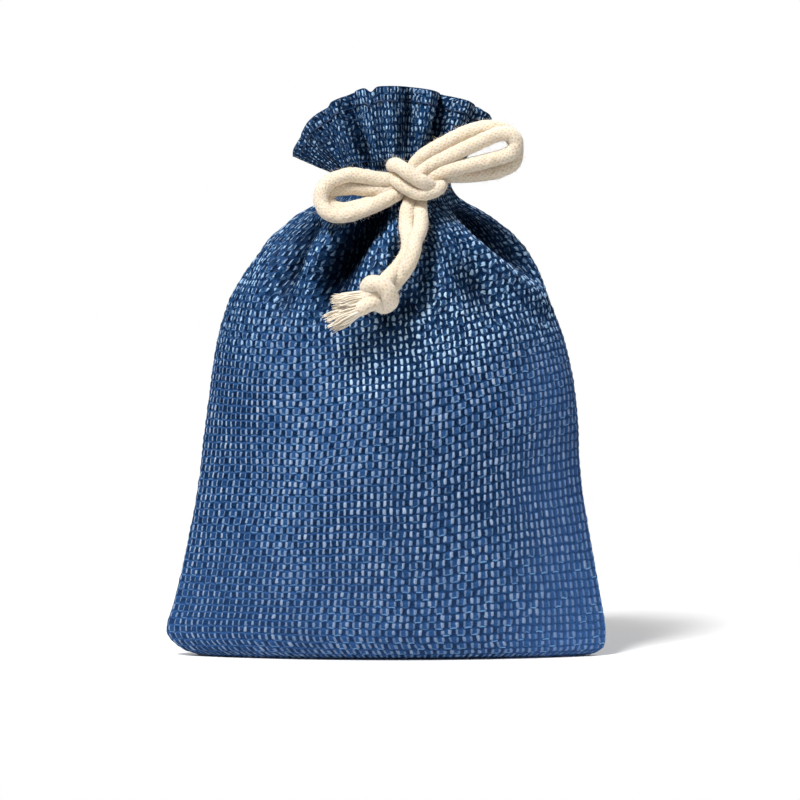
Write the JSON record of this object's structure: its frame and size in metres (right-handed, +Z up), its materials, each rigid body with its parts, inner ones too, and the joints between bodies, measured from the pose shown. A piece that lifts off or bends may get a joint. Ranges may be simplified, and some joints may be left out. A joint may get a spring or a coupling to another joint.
{
  "type": "drawstring pouch",
  "caption": "Small filled kinchaku pouch of coarse woven blue cloth, drawn shut at a gathered neck by a cream cotton drawstring tied in a doubled bow with one knotted tail",
  "frame": {"origin": "middle of the flattened base that the filled pouch stands on, at floor level", "axes": "+Z up through the neck, front with the bow towards -Y, +X to the right as seen from the front, along the pouch's width"},
  "size_m": [0.1, 0.0457, 0.1299],
  "materials": {
    "cloth": "coarse plain weave of navy and pale grey-blue yarn, matte with a slight sheen on the yarns",
    "cord": "soft braided natural cotton, matte, slightly fuzzy"
  },
  "bodies": {
    "root": {"pouch_cloth": "cloth", "drawstring_in_casing": "cord", "bow": "cord", "tail_strand_left": "cord", "tail_strand_right": "cord", "end_knot": "cord"}
  },
  "joints": []
}
